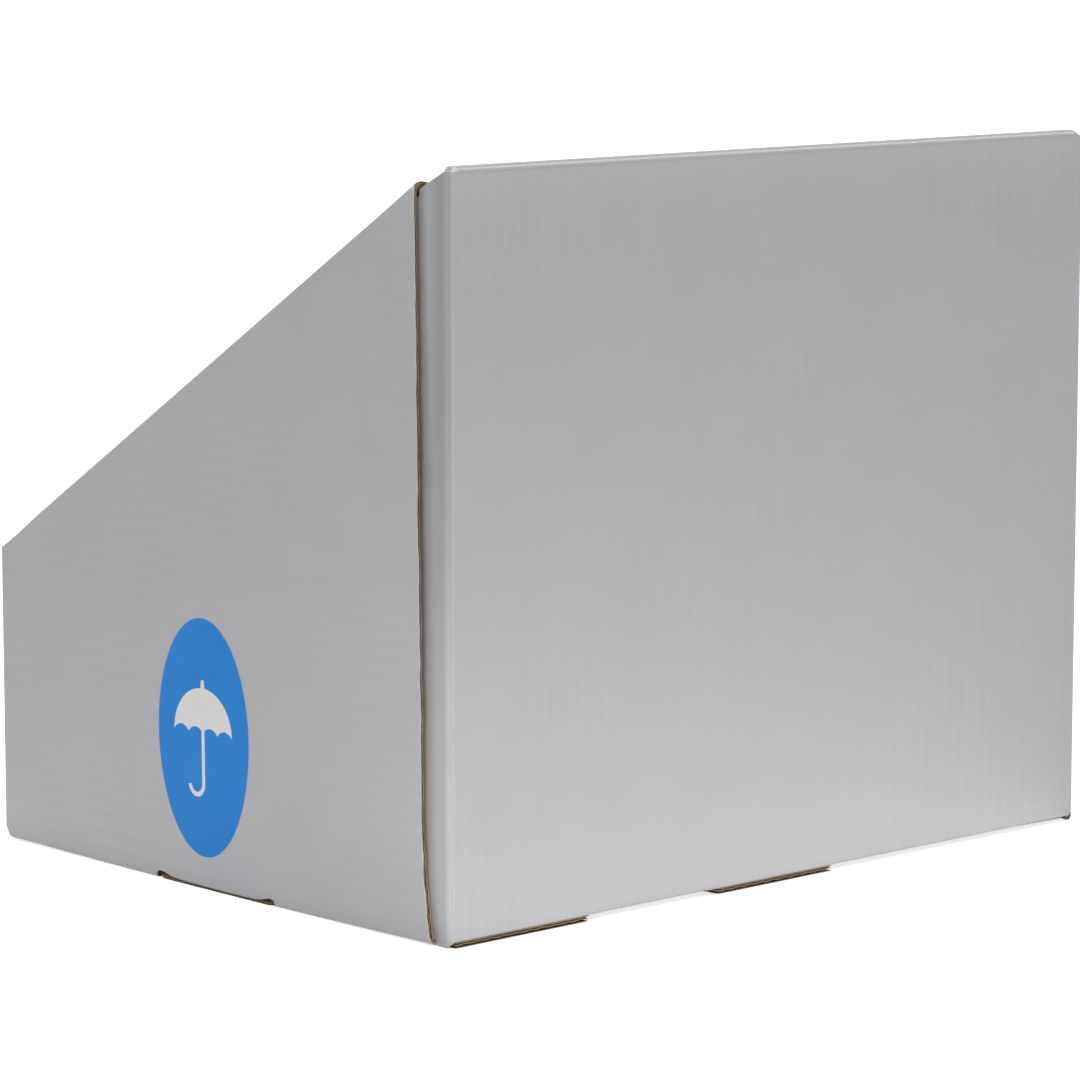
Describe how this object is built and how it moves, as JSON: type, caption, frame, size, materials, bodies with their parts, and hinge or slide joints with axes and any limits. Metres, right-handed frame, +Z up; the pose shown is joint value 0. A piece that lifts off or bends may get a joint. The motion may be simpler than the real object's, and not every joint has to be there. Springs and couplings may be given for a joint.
{
  "type": "umbrella display stand",
  "caption": "Counter-top bin for pocket umbrellas, folded from corrugated board: low front, high back, slanted sides, double walls with rolled tops and lock tabs.",
  "frame": {"origin": "centre of the footprint, on the surface that the bin stands on", "axes": "+Z up, +Y from the low front to the high back, +X to the right when looking at the front"},
  "size_m": [0.355, 0.276, 0.29],
  "materials": {
    "printed_board": "satin silver-grey print",
    "kraft_board": "plain kraft liner"
  },
  "bodies": {
    "tray": {"base_panel": "kraft_board", "side_outer_wall_right": "printed_board", "side_top_fold_right": "printed_board", "side_inner_wall_right": "printed_board", "side_outer_wall_left": "printed_board", "side_top_fold_left": "printed_board", "side_inner_wall_left": "printed_board"},
    "back_wall": {"back_outer_wall": "printed_board", "back_top_fold": "printed_board", "back_inner_wall": "printed_board", "back_corner_flap_right": "printed_board", "back_corner_flap_left": "printed_board"},
    "front_wall": {"front_outer_wall": "printed_board", "front_top_fold": "printed_board", "front_inner_wall": "printed_board", "front_corner_flap_right": "printed_board", "front_corner_flap_left": "printed_board"}
  },
  "joints": [
    {"name": "back_wall_fold", "type": "hinge", "parent": "tray", "child": "back_wall", "pos_m": [0, 0.138, 0.0022], "axis": [-1, 0, 0], "range_deg": [0, 90]},
    {"name": "front_wall_fold", "type": "hinge", "parent": "tray", "child": "front_wall", "pos_m": [0, -0.138, 0.0022], "axis": [1, 0, 0], "range_deg": [0, 90]}
  ]
}
